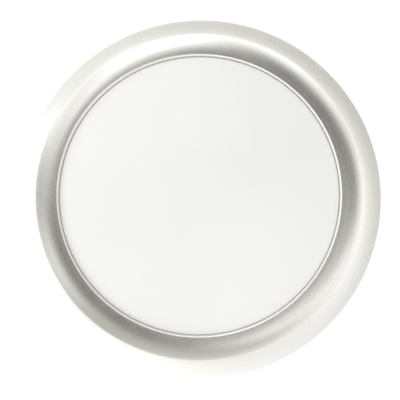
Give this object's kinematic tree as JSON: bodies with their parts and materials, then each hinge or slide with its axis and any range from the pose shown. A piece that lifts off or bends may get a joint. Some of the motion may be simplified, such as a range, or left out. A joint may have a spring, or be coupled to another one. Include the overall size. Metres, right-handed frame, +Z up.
{
  "type": "lazy susan turntable",
  "caption": "Round spun-aluminium tray with an inlaid white deck, turning freely on a hidden ball swivel over a smaller round base with rubber feet.",
  "frame": {"origin": "on the axis of rotation, on the surface that the feet stand on", "axes": "+Z up along the axis of rotation; +X and +Y are level, and the screws and feet repeat every 60 degrees about +Z"},
  "size_m": [0.305, 0.305, 0.0363],
  "materials": {
    "satin_aluminium": "spun, fine satin, clear anodised",
    "white_acrylic": "gloss",
    "foam_tape": "matt closed-cell foam",
    "zinc_steel": "bright zinc plate",
    "bearing_steel": "polished",
    "natural_nylon": "moulded, satin",
    "grey_rubber": "matt moulded"
  },
  "bodies": {
    "base": {"base_pan": "satin_aluminium", "foot_ring": "zinc_steel", "lower_swivel_plate": "zinc_steel", "pivot_bush": "natural_nylon", "thrust_washer": "natural_nylon", "base_screws": "zinc_steel", "base_lock_washers": "zinc_steel", "foot_1": "grey_rubber", "foot_2": "grey_rubber", "foot_3": "grey_rubber", "foot_4": "grey_rubber", "foot_5": "grey_rubber", "foot_6": "grey_rubber"},
    "turntable": {"tray_pan": "satin_aluminium", "deck_plate": "white_acrylic", "deck_foam_ring": "foam_tape", "deck_foam_pads": "foam_tape", "tray_screws": "zinc_steel", "upper_swivel_plate": "zinc_steel", "pivot_bolt": "zinc_steel", "pivot_washer": "zinc_steel", "pivot_nut": "zinc_steel"},
    "cage": {"ball_cage": "natural_nylon"},
    "ball_01_body": {"ball_01": "bearing_steel"},
    "ball_02_body": {"ball_02": "bearing_steel"},
    "ball_03_body": {"ball_03": "bearing_steel"},
    "ball_04_body": {"ball_04": "bearing_steel"},
    "ball_05_body": {"ball_05": "bearing_steel"},
    "ball_06_body": {"ball_06": "bearing_steel"},
    "ball_07_body": {"ball_07": "bearing_steel"},
    "ball_08_body": {"ball_08": "bearing_steel"},
    "ball_09_body": {"ball_09": "bearing_steel"},
    "ball_10_body": {"ball_10": "bearing_steel"},
    "ball_11_body": {"ball_11": "bearing_steel"},
    "ball_12_body": {"ball_12": "bearing_steel"}
  },
  "joints": [
    {"name": "turntable_spin", "type": "hinge", "parent": "base", "child": "turntable", "pos_m": [0, 0, 0.021], "axis": [0, 0, 1], "continuous": true},
    {"name": "cage_spin", "type": "hinge", "parent": "base", "child": "cage", "pos_m": [0, 0, 0.021], "axis": [0, 0, 1], "continuous": true},
    {"name": "ball_01_roll", "type": "hinge", "parent": "cage", "child": "ball_01_body", "pos_m": [0.07, 0, 0.021], "axis": [1, 0, 0], "continuous": true},
    {"name": "ball_02_roll", "type": "hinge", "parent": "cage", "child": "ball_02_body", "pos_m": [0.06062, 0.035, 0.021], "axis": [0.866, 0.5, 0], "continuous": true},
    {"name": "ball_03_roll", "type": "hinge", "parent": "cage", "child": "ball_03_body", "pos_m": [0.035, 0.06062, 0.021], "axis": [0.5, 0.866, 0], "continuous": true},
    {"name": "ball_04_roll", "type": "hinge", "parent": "cage", "child": "ball_04_body", "pos_m": [0, 0.07, 0.021], "axis": [0, 1, 0], "continuous": true},
    {"name": "ball_05_roll", "type": "hinge", "parent": "cage", "child": "ball_05_body", "pos_m": [-0.035, 0.06062, 0.021], "axis": [-0.5, 0.866, 0], "continuous": true},
    {"name": "ball_06_roll", "type": "hinge", "parent": "cage", "child": "ball_06_body", "pos_m": [-0.06062, 0.035, 0.021], "axis": [-0.866, 0.5, 0], "continuous": true},
    {"name": "ball_07_roll", "type": "hinge", "parent": "cage", "child": "ball_07_body", "pos_m": [-0.07, 0, 0.021], "axis": [-1, 0, 0], "continuous": true},
    {"name": "ball_08_roll", "type": "hinge", "parent": "cage", "child": "ball_08_body", "pos_m": [-0.06062, -0.035, 0.021], "axis": [-0.866, -0.5, 0], "continuous": true},
    {"name": "ball_09_roll", "type": "hinge", "parent": "cage", "child": "ball_09_body", "pos_m": [-0.035, -0.06062, 0.021], "axis": [-0.5, -0.866, 0], "continuous": true},
    {"name": "ball_10_roll", "type": "hinge", "parent": "cage", "child": "ball_10_body", "pos_m": [0, -0.07, 0.021], "axis": [0, -1, 0], "continuous": true},
    {"name": "ball_11_roll", "type": "hinge", "parent": "cage", "child": "ball_11_body", "pos_m": [0.035, -0.06062, 0.021], "axis": [0.5, -0.866, 0], "continuous": true},
    {"name": "ball_12_roll", "type": "hinge", "parent": "cage", "child": "ball_12_body", "pos_m": [0.06062, -0.035, 0.021], "axis": [0.866, -0.5, 0], "continuous": true}
  ],
  "couplings": [
    {"joint": "cage_spin", "follows": "turntable_spin", "ratio": 0.5},
    {"joint": "ball_01_roll", "follows": "turntable_spin", "ratio": -11.667},
    {"joint": "ball_02_roll", "follows": "turntable_spin", "ratio": -11.667},
    {"joint": "ball_03_roll", "follows": "turntable_spin", "ratio": -11.667},
    {"joint": "ball_04_roll", "follows": "turntable_spin", "ratio": -11.667},
    {"joint": "ball_05_roll", "follows": "turntable_spin", "ratio": -11.667},
    {"joint": "ball_06_roll", "follows": "turntable_spin", "ratio": -11.667},
    {"joint": "ball_07_roll", "follows": "turntable_spin", "ratio": -11.667},
    {"joint": "ball_08_roll", "follows": "turntable_spin", "ratio": -11.667},
    {"joint": "ball_09_roll", "follows": "turntable_spin", "ratio": -11.667},
    {"joint": "ball_10_roll", "follows": "turntable_spin", "ratio": -11.667},
    {"joint": "ball_11_roll", "follows": "turntable_spin", "ratio": -11.667},
    {"joint": "ball_12_roll", "follows": "turntable_spin", "ratio": -11.667}
  ]
}
